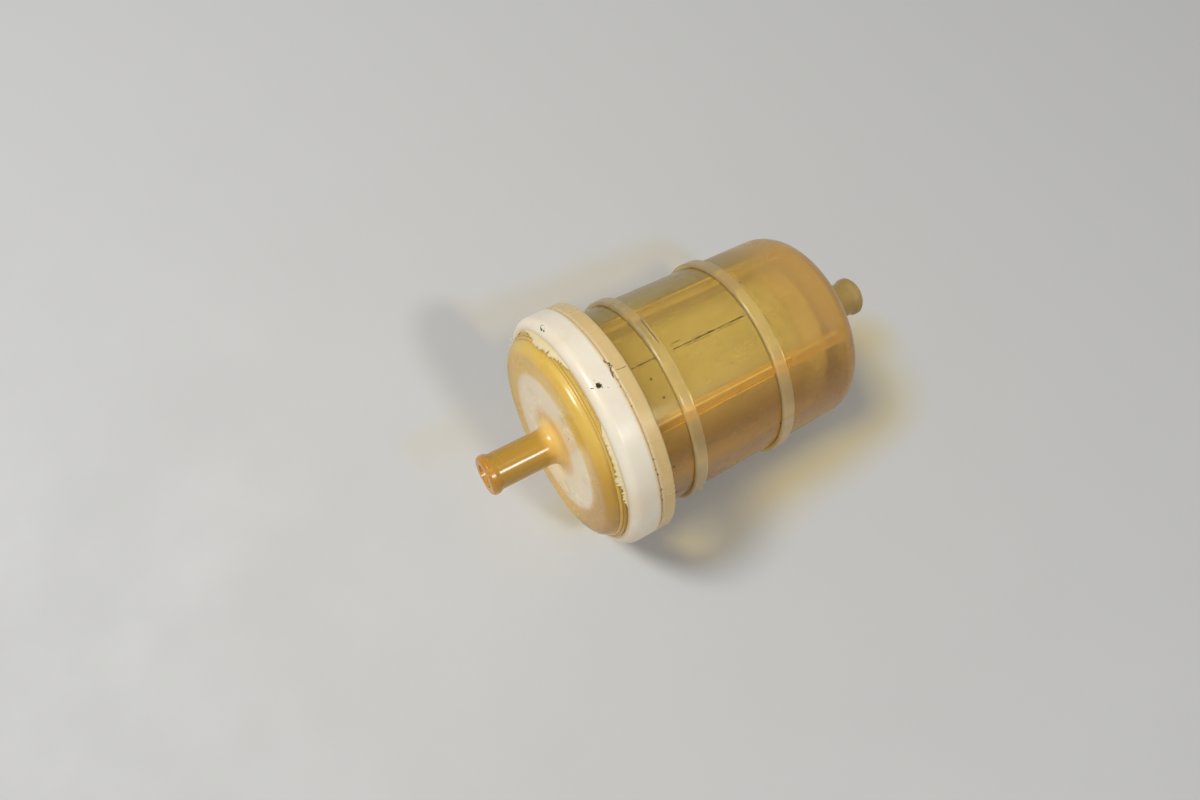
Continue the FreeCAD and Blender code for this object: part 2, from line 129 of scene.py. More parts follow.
# %% One material being made
class Finish:
    """A material being made: node() adds any node, and the other methods are the ones used most."""

    def __init__(self, name):
        self.material = bpy.data.materials.new(name)
        self.material.use_nodes = True
        self.tree = self.material.node_tree
        self.shader = self.tree.nodes["Principled BSDF"]
        self.output = self.tree.nodes["Material Output"]
        self.place = self.node("ShaderNodeTexCoord", {}, {}, "Object")

    def node(self, kind, settings, sockets, output=0):
        """Adds a node: its settings first, then a value or a link for each named or numbered input."""
        made = self.tree.nodes.new(kind)
        for name, value in settings.items():
            setattr(made, name, value)
        for name, value in sockets.items():
            self.connect(value, made.inputs[name])
        return Value(self, made.outputs[output])

    def connect(self, value, socket):
        if isinstance(value, Value):
            self.tree.links.new(value.socket, socket)
        else:
            socket.default_value = value

    def set(self, **sockets):
        """Sets or links the surface shader's own sockets, with _ for a space in a name."""
        for name, value in sockets.items():
            self.connect(value, self.shader.inputs[name.replace("_", " ")])
        return self

    def surface(self):
        """What the material shows now: the socket that feeds its output."""
        return Value(self, self.output.inputs["Surface"].links[0].from_socket)

    def blend(self, amount, other):
        """Mixes another shader over what the material shows, by an amount from 0 to 1."""
        mixed = self.node("ShaderNodeMixShader", {}, {0: amount, 1: self.surface(), 2: other})
        self.connect(mixed, self.output.inputs["Surface"])

    def axes(self):
        """Position on the piece, as three numbers in metres: along the filter, across it and up."""
        split = self.node("ShaderNodeSeparateXYZ", {}, {0: self.place})
        return [Value(self, output) for output in split.socket.node.outputs]

    def from_axis(self):
        """Distance from the filter's axis."""
        _, across, up = self.axes()
        return (across * across + up * up).power(0.5)

    def away_from(self, point):
        """Distance from a point."""
        sockets = {0: self.place, 1: point}
        return self.node("ShaderNodeVectorMath", {"operation": "DISTANCE"}, sockets, "Value")

    def cloud(self, per_metre, detail=3.0, roughness=0.55, stretch=(1, 1, 1)):
        """Soft random variation, from 0 to 1, with about per_metre blotches in a metre."""
        scaled = self.node("ShaderNodeMapping", {}, {"Vector": self.place, "Scale": stretch})
        sockets = {"Vector": scaled, "Scale": per_metre, "Detail": detail, "Roughness": roughness}
        return self.node("ShaderNodeTexNoise", {}, sockets)

    def mix(self, amount, first, second):
        """A colour between two colours."""
        return self.node("ShaderNodeMix", {"data_type": "RGBA"}, {0: amount, 6: first, 7: second}, 2)

    def relief(self, height, strength, distance):
        """The normals of a small relief: height from 0 to 1 stands for distance in metres."""
        sockets = {"Height": height, "Strength": strength, "Distance": distance}
        return self.node("ShaderNodeBump", {}, sockets)

    def let_lamps_through(self, tint):
        """Makes the surface transparent, in this tint, to rays that test whether a lamp is in sight."""
        lamp_ray = self.node("ShaderNodeLightPath", {}, {}, "Is Shadow Ray")
        self.blend(lamp_ray, self.node("ShaderNodeBsdfTransparent", {}, {"Color": tint}))

    def absorb(self, shade, density):
        """Fills the piece with a volume that takes out light, so its colour deepens with thickness."""
        volume = self.node("ShaderNodeVolumeAbsorption", {}, {"Color": shade, "Density": density})
        self.connect(volume, self.output.inputs["Volume"])

    def put_on(self, *names):
        """Covers these pieces of the frame with the finish."""
        for name in names:
            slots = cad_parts[name].data.materials
            slots.clear()
            slots.append(self.material)
        print(f"{self.material.name} on {', '.join(names)}")


print("a finish has", [name for name in vars(Finish) if not name.startswith("_")])

# %% [markdown]
# Colours are easiest to choose as they look on a screen, but a shader works with amounts of light. This
# helper turns the one into the other.

# %% Colours as they look on screen
def colour(red, green, blue):
    """A colour given as it looks on screen, 0 to 255, turned into light."""
    def light(level):
        share = level / 255
        return share / 12.92 if share <= 0.04045 else ((share + 0.055) / 1.055) ** 2.4

    return (light(red), light(green), light(blue), 1.0)


print("mid grey is", round(colour(128, 128, 128)[0], 3), "as light")

# %% [markdown]
# ## Where each part of a shell lies
#
# One moulding shows several looks: a clear wall, cloudy hoops and flange, and ribs painted a glowing gold
# where they stand inside the wall. All of them follow from two numbers, the place along the axis and the
# distance from it, so the finishes below measure both and compare them with the barrel's tapering wall. The
# side toward
# -Y is painted a darker, deeper orange than the rest, as painted shade, and a mask marks that shade as well.

# %% The barrel's wall, for the finishes
BARREL_RADIUS, BARREL_WALL, BARREL_TAPER = 19.7 * MM, 1.9 * MM, math.tan(math.radians(1.25))
OUTLET_SPIGOT = 12.4 * MM
end_wall = outlet_tip - OUTLET_SPIGOT - BARREL_WALL
RIB_EDGE = 13.2 * MM
# Where the painted shade on the side toward -Y is full, and where it ends.
SIDE_SHADE_FULL, SIDE_SHADE_END = -17 * MM, -7 * MM


def barrel_zones(finish):
    """Masks from 0 to 1 for the barrel's parts, and the two measures that its finish also needs."""
    along, across, _ = finish.axes()
    radius = finish.from_axis()
    behind_flange, past_end = along - flange_rear, along - end_wall
    stands_out = radius - (BARREL_RADIUS - behind_flange * BARREL_TAPER)
    stands_in = stands_out + BARREL_WALL
    before_rear = behind_flange.ramp(-0.2 * MM, 0.25 * MM, 1.0, 0.0)
    inner = stands_in.ramp(-0.7 * MM, -0.2 * MM, 1.0, 0.0)
    before_end = past_end.ramp(-1.2 * MM, -0.4 * MM, 1.0, 0.0)
    ribs = inner * radius.ramp(RIB_EDGE, RIB_EDGE + 0.7 * MM) * before_end
    return {
        "along": along,
        "across": across,
        "flange": before_rear * radius.ramp(BARREL_RADIUS - 0.5 * MM, BARREL_RADIUS + 0.5 * MM),
        "hoops": stands_out.ramp(0.1 * MM, 0.5 * MM) * (1 - before_rear),
        "ribs": ribs,
        "root": stands_in.between(-1.3 * MM, -0.2 * MM, 0.2 * MM) * ribs,
        "spigot": past_end.ramp(0.5 * MM, 3.0 * MM) * radius.ramp(4.0 * MM, 7.0 * MM, 1.0, 0.0),
        "outside": stands_out.ramp(-0.6 * MM, -0.3 * MM).maximum(past_end.ramp(-5 * MM, -2 * MM)),
        # Painted shade: a mask for the side toward -Y, which is coloured darker there.
        "stained": across.ramp(SIDE_SHADE_FULL, SIDE_SHADE_END, 1.0, 0.0),
    }


print(f"the barrel ends {(end_wall - flange_rear + BARREL_WALL) / MM:.1f} mm behind its flange")

# %% [markdown]
# ## Dirt
#
# Years beside an engine leave dark dirt where a moulding gives it a hold: along the parting line on top of
# the barrel, in the seam between the ring and the flange, and in nicks. It lies on the surface and hides
# what is below, so each mark is a mask that mixes a dull dark shader over the nylon. Marks are placed as
# they would be measured on the filter, by the distance from the seam and the angle from the top.

# %% Round marks, and where they go
def on_surface(past_seam, degrees, radius):
    """A point from its distance past the seam, angle from the top and distance from the axis, in mm."""
    turn = math.radians(degrees)
    return (seam + past_seam * MM, radius * MM * math.sin(turn), radius * MM * math.cos(turn))


def speck(finish, point, size):
    """A round black dot."""
    return finish.away_from(point).ramp(size * 0.6, size, 1.0, 0.0)


def blot(finish, point, size):
    """A dot with a torn edge."""
    torn = finish.away_from(point) * finish.cloud(1900, detail=4.0, roughness=0.7).ramp(0.3, 0.7, 0.35, 2.1)
    return torn.ramp(size * 0.7, size, 1.0, 0.0)


def cover_with_dirt(finish, mask):
    shade = finish.mix(finish.cloud(2500), colour(74, 46, 24), colour(38, 24, 12))
    sockets = {"Base Color": shade, "Roughness": 0.85}
    finish.blend(mask, finish.node("ShaderNodeBsdfPrincipled", {}, sockets))


print("a mark 6 mm past the seam, on top, is at", [round(v / MM, 1) for v in on_surface(6, 0, 19.5)], "mm")

# %% [markdown]
# Long marks are thin lines that waver. A line is the place where a distance is nearly nothing, so the mask
# takes the absolute distance from it, after slow noise has moved it to make it waver, and is multiplied by
# quicker noise to break it up. These marks belong to the top only, so none is left below the axis.

# %% Lines of dirt
TOP_FADE = 5 * MM


def on_top(finish):
    return finish.axes()[2].ramp(0, TOP_FADE)


def dashes_on_top(finish, start, end, width, aside=0.0):
    """Broken lines along the parting line, on the top, between two distances past the seam."""
    along, across, _ = finish.axes()
    wander = (finish.cloud(160, stretch=(1, 0.2, 0.2)) - 0.5) * 0.7 * MM
    line = (across + wander - aside).absolute().ramp(0.45 * width, width, 1.0, 0.0)
    broken = finish.cloud(1100, detail=3.0, stretch=(0.5, 3.0, 0.1)).ramp(0.45, 0.52)
    reach = along.between(seam + start, seam + end, 0.5 * MM)
    return line * broken * reach * on_top(finish)


def seam_dirt(finish):
    """Flecks in the seam all the way round, and one long crack-like line at the top."""
    along, across, _ = finish.axes()
    near = (along - seam).absolute().ramp(0.12 * MM, 0.42 * MM, 1.0, 0.0)
    flecks = near * finish.cloud(1500, detail=3.0).ramp(0.56, 0.62) * finish.cloud(110).ramp(0.48, 0.60)
    swing = (finish.cloud(420, detail=5.0, roughness=0.7, stretch=(0.1, 1, 0.1)) - 0.5) * 3.2 * MM
    crack = (along - seam + 0.35 * MM + swing).absolute().ramp(0.07 * MM, 0.17 * MM, 1.0, 0.0)
    return flecks.maximum(crack * across.between(-1.3 * MM, 2.8 * MM, 0.5 * MM) * on_top(finish))


print(f"lines of dirt are at full strength {TOP_FADE / MM:.0f} mm above the axis")

# %% [markdown]
# ## Amber nylon
#
# The cap and barrel are moulded in clear nylon that petrol has turned amber. Light passes through the wall,
# so one shader transmits it. A second one scatters it just under the surface, as milky nylon does, and a
# mask mixes the two: thick places are milky, thin ones clear. A plain glass shader would look like tinted
# glass; the scattered share is what makes it plastic. The depth of colour comes from an absorbing volume,
# so thick corners are darker than the wall. Lamps reach the element inside because the surface is
# transparent to their shadow rays alone.

# %% The amber finish
LAMP_TINT = (0.99, 0.96, 0.86, 1.0)
ABSORBED = (0.94, 0.87, 0.36, 1.0)
NYLON_GLOW = {"Subsurface Weight": 0.6, "Subsurface Scale": 0.003, "Subsurface Radius": (1.0, 0.8, 0.45)}


def amber_nylon(name, clear, milky_shade, milky, dirt, absorption):
    """milky_shade, milky and dirt are functions that give a point's milky colour, milkiness and dirt."""
    finish = Finish(name)
    cloudy = finish.cloud(90, stretch=(0.5, 1, 1))
    fine = finish.cloud(1400, detail=4.0)
    rough = cloudy.ramp(0.3, 0.8, 0.13, 0.22) + fine * 0.05
    flow = finish.cloud(260, detail=5.0, stretch=(0.25, 1, 1))
    relief = finish.relief(flow * 0.7 + fine * 0.3, 0.10, 0.10 * MM)
    finish.set(Base_Color=clear, Roughness=rough, Normal=relief, Transmission_Weight=0.97, IOR=1.5)
    sockets = {"Base Color": milky_shade(finish), "Roughness": rough + 0.08, "Normal": relief, **NYLON_GLOW}
    scuffs = finish.cloud(650, detail=6.0, roughness=0.7, stretch=(0.5, 1.6, 1.6)).ramp(0.60, 0.74, 0.0, 0.14)
    finish.blend(milky(finish, cloudy).maximum(scuffs), finish.node("ShaderNodeBsdfPrincipled", {}, sockets))
    cover_with_dirt(finish, dirt(finish))
    finish.let_lamps_through(LAMP_TINT)
    finish.absorb(ABSORBED, absorption)
    return finish


print("the volume leaves these shares of red, green and blue:", ABSORBED[:3])

# %% [markdown]
# The barrel's flange is the thickest nylon and looks the milkiest. The ribs inside are painted a bright gold
# where they join the wall, a painted glow that shows them as golden lines. The dome past the element has
# nothing behind it, and the haze of its inner and outer skins is all that shows, so it is hazier than the
# sides. Painted shade darkens the haze just behind the flange and on the side toward -Y. Each colour is laid
# over the one before it, where its mask says.

# %% Colours of the barrel's milky share
# Painted shade: the third colour here darkens the haze just behind the flange.
HAZE_PALE, HAZE_DEEP, HAZE_SHADED_BY_FLANGE = colour(172, 148, 84), colour(150, 128, 66), colour(138, 116, 60)
# Painted shade: the first colour here darkens the haze on the side toward -Y.
HAZE_SIDE_SHADE, HAZE_OF_DOME = colour(166, 112, 44), colour(202, 162, 92)
BARREL_SHADES = {
    # painted glow: the bright gold of the ribs and, brightest, of their roots
    "ribs": colour(228, 180, 80),
    "root": colour(248, 212, 112),
    "hoops": colour(208, 190, 146),
    "spigot": colour(170, 144, 84),
    "flange": colour(236, 204, 146),
}
SEAM_CREAM = colour(246, 216, 166)


def barrel_milk_shade(finish):
    zones = barrel_zones(finish)
    along, stained = zones["along"], zones["stained"] * 0.8
    shade = finish.mix(finish.cloud(70, detail=4.0).ramp(0.3, 0.7), HAZE_PALE, HAZE_DEEP)
    # Painted shade: the haze is coloured darker just behind the flange.
    painted_shade_near_flange = along.ramp(flange_rear + 4 * MM, flange_rear + 11 * MM, 0.8, 0.0)
    shade = finish.mix(painted_shade_near_flange, shade, HAZE_SHADED_BY_FLANGE)
    # Painted shade: the side toward -Y is coloured a darker, deeper orange.
    shade = finish.mix(stained, shade, HAZE_SIDE_SHADE)
    shade = finish.mix(along.ramp(flange_rear + 26 * MM, end_wall) * (1 - stained), shade, HAZE_OF_DOME)
    for zone, over in BARREL_SHADES.items():
        shade = finish.mix(zones[zone], shade, over)
    seam_edge = (along - seam).ramp(0.25 * MM, 0.65 * MM, 1.0, 0.0) * zones["flange"]
    return finish.mix(seam_edge, shade, SEAM_CREAM)


print("zones with a shade of their own:", ", ".join(BARREL_SHADES))

# %% [markdown]
# How milky each zone is matters as much as its colour. The wall keeps a haze that varies a little, more of
# it toward the dome, and along the lowest part of the -Y side, where it spreads the painted shade. The ribs'
# painted glow is strong on that side, and hardly shows on the other.

# %% How milky the barrel is
BARREL_MILKINESS = {"flange": 0.85, "hoops": 0.32, "spigot": 0.65}
# Painted glow: the ribs' gold fades out over this distance toward +Y.
RIB_PAINTED_GLOW_END = 6 * MM


def barrel_milk(finish, cloudy):
    zones = barrel_zones(finish)
    across = zones["across"]
    domeward = zones["along"].ramp(flange_rear + 28 * MM, flange_rear + 39 * MM, 0.0, 0.42)
    domeward = domeward * (1 - zones["stained"] * 0.75)
    # Painted shade: the lowest part of the -Y side is made milkier, so the painted shade's colour covers it.
    low_side_shade = across.ramp(-18.5 * MM, -14 * MM, 0.25, 0.0)
    milk = zones["outside"] * (cloudy.ramp(0.3, 0.75, 0.28, 0.42) + domeward + low_side_shade)
    for zone, share in BARREL_MILKINESS.items():
        milk = milk.maximum(zones[zone] * share)
    # Painted glow: the ribs and their roots are milkier, so a brighter gold, toward -Y than toward +Y.
    milk = milk.maximum(zones["ribs"] * across.ramp(0, RIB_PAINTED_GLOW_END, 0.5, 0.08))
    return milk.maximum(zones["root"] * across.ramp(0, RIB_PAINTED_GLOW_END, 0.92, 0.4))


print("milky share by zone:", BARREL_MILKINESS)

# %% [markdown]
# The barrel's dirt follows its parting line: a long broken line between the hoops, shorter ones before the
# first hoop and a tick on the flange, with a few strays beside them. One scratch runs along the first hoop,
# and a few specks are scattered down the side.

# %% Dirt on the barrel, and its finish
TOP_DASHES = [  # from and to past the seam, and width, in mm
    (12.7, 27.5, 0.12), (5.2, 7.7, 0.12), (0.4, 2.6, 0.16),
]
STRAY_DASHES = [  # from and to past the seam, width, and distance beside the parting line, in mm
    (13.0, 16.6, 0.10, 0.95), (18.6, 22.0, 0.09, 0.5),
]
BARREL_SPECKS = [  # distance past the seam in mm, degrees from the top, and radius in mm
    (6.45, -9, 0.25), (7.05, -20, 0.25), (4.85, -57.5, 0.27), (5.55, -81, 0.35), (11.55, -51, 0.25),
    (30.85, -57, 0.3), (28.55, -69, 0.3),
]


def hoop_scratch(finish):
    """A dark scratch along the first hoop's front, a little to one side of the top."""
    along, across, _ = finish.axes()
    sway = (finish.cloud(300, stretch=(0.1, 1, 0.1)) - 0.5) * 0.6 * MM
    line = (along - flange_rear - 8.0 * MM + sway).absolute().ramp(0.05 * MM, 0.14 * MM, 1.0, 0.0)
    return line * across.between(1.4 * MM, 8.2 * MM, 1.2 * MM) * on_top(finish)


def barrel_dirt(finish):
    dirt = seam_dirt(finish).maximum(hoop_scratch(finish))
    for start, end, width in TOP_DASHES:
        dirt = dirt.maximum(dashes_on_top(finish, start * MM, end * MM, width * MM))
    thinned = finish.cloud(420, detail=2.0).ramp(0.50, 0.56)
    for start, end, width, aside in STRAY_DASHES:
        strays = dashes_on_top(finish, start * MM, end * MM, width * MM, aside * MM)
        dirt = dirt.maximum(strays * thinned)
    for past_seam, degrees, size in BARREL_SPECKS:
        radius = (BARREL_RADIUS - (past_seam * MM - FLANGE_WIDTH) * BARREL_TAPER) / MM
        dirt = dirt.maximum(speck(finish, on_surface(past_seam, degrees, radius), size * MM))
    return dirt


amber_nylon(
    "amber_nylon_barrel", colour(246, 238, 206), barrel_milk_shade, barrel_milk, barrel_dirt, absorption=215.0
).put_on("outlet_housing")

# %% [markdown]
# The cap is younger-looking and thinner. The white end plate of the element touches its inner face and
# shows through as a pale disc. Past the plate's edge only amber nylon is left, which is why a golden band
# runs round the cap's corner.

# %% Zones of the cap
INLET_SPIGOT = 14.4 * MM
cap_face = inlet_tip + INLET_SPIGOT
plate_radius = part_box("element_inlet_plate")[1].z


def cap_zones(finish):
    """Masks for the cap's spigot, its root and tip, the band past the element's plate, and the painted shade
    toward -Y.
    """
    along, across, _ = finish.axes()
    radius = finish.from_axis()
    spigot = radius.ramp(4.0 * MM, 8.0 * MM, 1.0, 0.0)
    return {
        "spigot": spigot,
        "root": spigot * along.ramp(cap_face - 3.5 * MM, cap_face - 0.5 * MM),
        "tip": along.ramp(inlet_tip + 0.6 * MM, inlet_tip + 2.0 * MM, 1.0, 0.0),
        "rim": radius.ramp(plate_radius - 1.0 * MM, plate_radius + 0.4 * MM),
        # Painted shade: a mask for the cap's side toward -Y.
        "stained": across.ramp(SIDE_SHADE_FULL, SIDE_SHADE_END, 1.0, 0.0),
    }


print(f"the golden band begins {plate_radius / MM:.1f} mm from the axis")

# %% The cap's finish
# Painted shade: the second colour here darkens the cap's golden band toward -Y.
RIM_GOLD, RIM_SIDE_SHADE, OVER_PLATE = colour(238, 200, 92), colour(206, 160, 50), colour(255, 238, 216)
CAP_SHADES = {"spigot": colour(186, 148, 44), "root": colour(248, 212, 126), "tip": colour(200, 144, 36)}
CAP_MILKINESS = {"spigot": 0.6, "root": 0.88, "rim": 0.54}


def cap_milk_shade(finish):
    zones = cap_zones(finish)
    # Painted shade: the golden band is coloured darker toward -Y.
    shade = finish.mix(zones["rim"], OVER_PLATE, finish.mix(zones["stained"], RIM_GOLD, RIM_SIDE_SHADE))
    for zone, over in CAP_SHADES.items():
        shade = finish.mix(zones[zone], shade, over)
    return shade


def cap_milk(finish, cloudy):
    zones = cap_zones(finish)
    milk = cloudy.ramp(0.3, 0.75, 0.62, 0.68)
    for zone, share in CAP_MILKINESS.items():
        milk = milk.maximum(zones[zone] * share)
    return milk


def cap_dirt(finish):
    return speck(finish, on_surface((cap_face - seam) / MM, -19, 10.3), 0.26 * MM)


amber_nylon(
    "amber_nylon_cap", colour(254, 250, 238), cap_milk_shade, cap_milk, cap_dirt, absorption=45.0
).put_on("inlet_cap")

# %% [markdown]
# ## White nylon ring
#
# The ring is opaque nylon, gone slightly cream, with a yellower edge at the seam and beside the cap. It is
# moulded last, over the cap's flange. A little scattering under the surface softens its shading, as it does
# on thick nylon. One torn dot lies near the top, and three more make a nick on its front edge.

# %% The ring's finish
RING_PALE, RING_DEEP, RING_EDGE = colour(250, 237, 216), colour(242, 225, 196), colour(238, 208, 160)
RING_BLOTS = [  # distance past the seam, degrees from the top, distance from the axis, and radius, in mm
    (-3.4, -3, 23.0, 0.72), (-4.75, 41, 22.4, 0.46), (-4.95, 39.5, 22.4, 0.46), (-4.9, 38, 22.4, 0.46),
]


def white_nylon():
    finish = Finish("white_nylon")
    cloudy = finish.cloud(120)
    by_seam = (finish.axes()[0] - seam).absolute().ramp(0.25 * MM, 0.8 * MM, 1.0, 0.0)
    by_cap = finish.from_axis().ramp(20.9 * MM, 21.8 * MM, 1.0, 0.0)
    white = finish.mix(cloudy.ramp(0.35, 0.75), RING_PALE, RING_DEEP)
    finish.set(Base_Color=finish.mix(by_seam.maximum(by_cap), white, RING_EDGE))
    finish.set(Roughness=cloudy.ramp(0.3, 0.8, 0.28, 0.42))
    finish.set(Subsurface_Weight=0.35, Subsurface_Scale=0.002, Subsurface_Radius=(1.0, 0.8, 0.5))
    finish.set(Normal=finish.relief(finish.cloud(1800), 0.2, 0.08 * MM))
    dirt = seam_dirt(finish)
    for past_seam, degrees, radius, size in RING_BLOTS:
        dirt = dirt.maximum(blot(finish, on_surface(past_seam, degrees, radius), size * MM))
    cover_with_dirt(finish, dirt)
    return finish


white_nylon().put_on("joint_ring")

# %% [markdown]
# ## The element inside
#
# Everything inside is seen only through the amber shells, so simple finishes are enough: a pale inlet plate
# behind the cap, an outlet plate that fuel has stained, resin, paper, the felt sleeve, a folded metal clip
# and a black rubber seal. Each has its own slight variation and grain. The felt carries the shell's painted
# shade too, darker and more orange toward -Y.

# %% Plain finishes of the element
def plain(name, first, second, rough, per_metre=300):
    """An opaque finish that drifts between two colours, with a fine grain."""
    finish = Finish(name)
    cloudy = finish.cloud(per_metre)
    finish.set(Base_Color=finish.mix(cloudy, first, second))
    finish.set(Roughness=cloudy.ramp(0.3, 0.8, rough, rough + 0.15))
    finish.set(Normal=finish.relief(finish.cloud(per_metre * 6), 0.3, 0.1 * MM))
    return finish


INNER_FINISHES = [  # name, its two colours, roughness, and the pieces it covers
    ("plate_plastic", colour(248, 246, 240), colour(242, 238, 228), 0.4, ["element_inlet_plate"]),
    ("stained_plate", colour(188, 162, 100), colour(170, 142, 82), 0.4, ["element_outlet_plate"]),
    ("potting_resin", colour(206, 182, 132), colour(188, 160, 108), 0.45, ["inlet_potting", "outlet_potting"]),
    ("filter_paper", colour(222, 198, 150), colour(204, 176, 122), 0.8, ["pleated_paper"]),
    ("core_plastic", colour(226, 216, 190), colour(212, 200, 170), 0.5, ["core_tube"]),
    ("seal_rubber", colour(40, 38, 36), colour(28, 27, 26), 0.6, ["outlet_grommet"]),
]
for name, first, second, rough, pieces in INNER_FINISHES:
    plain(name, first, second, rough).put_on(*pieces)
clip = plain("clip_metal", colour(200, 198, 194), colour(180, 178, 174), rough=0.3)
clip.set(Metallic=1.0).put_on("seam_clip")

# %% The felt sleeve, with painted shade on one side
# Painted shade: the third colour darkens the felt on the side toward -Y.
FELT_PALE, FELT_DEEP, FELT_SIDE_SHADE = colour(180, 164, 112), colour(156, 140, 86), colour(160, 116, 60)
felt = plain("sleeve_felt", FELT_PALE, FELT_DEEP, rough=0.85)
clean_felt = felt.mix(felt.cloud(300), FELT_PALE, FELT_DEEP)
# Painted shade: the felt is coloured darker and more orange toward -Y.
felt_side_shade = felt.axes()[1].ramp(-15 * MM, -5 * MM, 0.85, 0.0)
felt.set(Base_Color=felt.mix(felt_side_shade, clean_felt, FELT_SIDE_SHADE)).put_on("outer_sleeve")

# %% [markdown]
# ## Flash
#
# When the ring was moulded, some nylon crept out over the cap and froze as a ragged cream edge, long in two
# places, with a few hairs where it was torn off. It is geometry and not paint, because its torn outline
# stands off the cap. All of the small extra pieces are made in one way: a small outline is drawn again and
# again along its path, and a skin joins each outline to the next.

# %% A mesh from a row of equal loops
def skin(name, loops, finish, ring=False):
    """A closed solid through loops of points: capped at both ends, or closed in a ring."""
    shape = bmesh.new()
    rows = [[shape.verts.new(point) for point in loop] for loop in loops]
    count = len(rows[0])
    following = rows[1:] + rows[:1] if ring else rows[1:]
    for row, after in zip(rows, following):
        for k in range(count):
            shape.faces.new((row[k], row[(k + 1) % count], after[(k + 1) % count], after[k]))
    if not ring:
        shape.faces.new(rows[0][::-1])
        shape.faces.new(rows[-1])
    bmesh.ops.recalc_face_normals(shape, faces=shape.faces)
    for face in shape.faces:
        face.smooth = True
    mesh = bpy.data.meshes.new(name)
    shape.to_mesh(mesh)
    shape.free()
    mesh.materials.append(finish.material)
    piece = bpy.data.objects.new(name, mesh)
    bpy.context.scene.collection.objects.link(piece)
    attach(piece, "root")
    print(f"{name}: {len(mesh.polygons)} faces")
    return piece


def round_axis(x, radius, turn):
    """A point at this distance from the axis, turned this far from the top."""
    return Vector((x, radius * math.sin(turn), radius * math.cos(turn)))


ring_top = round_axis(ring_front, flange_radius, 0)
print("the top of the ring's front is at", [round(v / MM, 1) for v in ring_top], "mm")

# %% [markdown]
# The ragged edge is a flat lens swept round the axis. It leans inward over the cap's rounded corner. At
# every quarter of a degree, noise decides how far the lens reaches and how it crumples: slow noise for the
# long tongues, and quick noise for the torn outline.

# %% Ragged flash between the ring and the cap
LENS = ((0, 1), (0.35, 1), (0.7, 0.9), (1, 0.2), (1, -0.2), (0.7, -0.9), (0.35, -1), (0, -1))
FLASH_STEP = 0.25
FLASH_ROOT = 21.1 * MM
FLASH_THICK, FLASH_CRUMPLE = 0.14 * MM, 0.10 * MM
TUCKED_IN = 0.10 * MM
flash_cream = plain("flash_cream", colour(242, 228, 186), colour(232, 212, 158), rough=0.45, per_metre=900)
random.seed(7)


def ragged_flash(name, first, last, least, most):
    """Flash from one angle to another, in degrees from the top, reaching from least to most metres."""
    shift = random.uniform(0, 100)
    loops = []
    steps = int(abs(last - first) / FLASH_STEP)
    for step in range(steps + 1):
        share = step / steps
        degrees = first + (last - first) * share
        swell = math.sin(math.pi * min(max(share, 0.02), 0.98)) ** 0.5
        slow = noise.noise(Vector((degrees * 0.16, shift, 0)))
        torn = noise.fractal(Vector((degrees * 0.8, shift, 5)), 0.7, 2.0, 4)
        reach = swell * (least + (most - least) * min(max(0.45 + 0.7 * slow + 0.5 * torn, 0), 1))
        crumple = FLASH_CRUMPLE * noise.noise(Vector((degrees * 0.9, shift, 9)))
        thick = FLASH_THICK * (0.7 + 0.6 * abs(torn))
        loop = []
        for out, side in LENS:
            curl = crumple * out + thick * side
            x = ring_front + TUCKED_IN - 0.80 * reach * out - 0.60 * curl
            radius = FLASH_ROOT - 0.60 * reach * out + 0.80 * curl
            loop.append(round_axis(x, radius, math.radians(degrees)))
        loops.append(loop)
    return skin(name, loops, flash_cream)


ragged_flash("flash_upper", 12, 60, 0.85 * MM, 2.1 * MM)
ragged_flash("flash_lower", -64, -18, 0.65 * MM, 1.7 * MM)
ragged_flash("flash_left", 66, 104, 0.30 * MM, 1.0 * MM)

# %% [markdown]
# Nylon also crept into the corner where the cap steps down from its shoulder, and rounds that corner off.
# It is an uneven bead, nearly the cap's own colour, that runs all the way round.

# %% Bead in the corner of the cap's shoulder
SHOULDER_RISE, DOME_RADIUS = 0.7 * MM, 19.8 * MM
BEAD_SIZE, BEAD_OFFSET, BEAD_SIDES = 0.32 * MM, 0.10 * MM, 10
bead_amber = plain("bead_amber", colour(228, 186, 94), colour(212, 168, 76), rough=0.25, per_metre=200)
bead_amber.set(Subsurface_Weight=0.4, Subsurface_Scale=0.002, Subsurface_Radius=(1.0, 0.8, 0.45))


def shoulder_bead(name):
    x, radius = ring_front - SHOULDER_RISE - BEAD_OFFSET, DOME_RADIUS + BEAD_OFFSET
    sides = [2 * math.pi * k / BEAD_SIDES for k in range(BEAD_SIDES)]
    loops = []
    for turn in (math.radians(degrees) for degrees in range(360)):
        uneven = noise.noise(Vector((2.5 * math.sin(turn), 2.5 * math.cos(turn), 4)))
        size = BEAD_SIZE * (1 + 0.25 * uneven)
        loops.append([
            round_axis(x + size * math.cos(side), radius + size * math.sin(side), turn) for side in sides
        ])
    piece = skin(name, loops, bead_amber, ring=True)
    return piece


shoulder_bead("shoulder_bead")

# %% [markdown]
# A few hairs of the same flash stand up where a longer tongue was torn away. Each is a six-sided thread
# that thins toward its end and curls to one side.

# %% Hairs of torn flash
HAIR_ROOT, HAIR_THICK = 21.9 * MM, 0.09 * MM
HAIR_STEPS, HAIR_SIDES = 14, 6
HAIRS = [(94, 0.5, 2.0), (91, -0.3, 1.5), (97, 0.9, 1.6), (88, 0.2, 1.1)]  # degrees, lean, length in mm


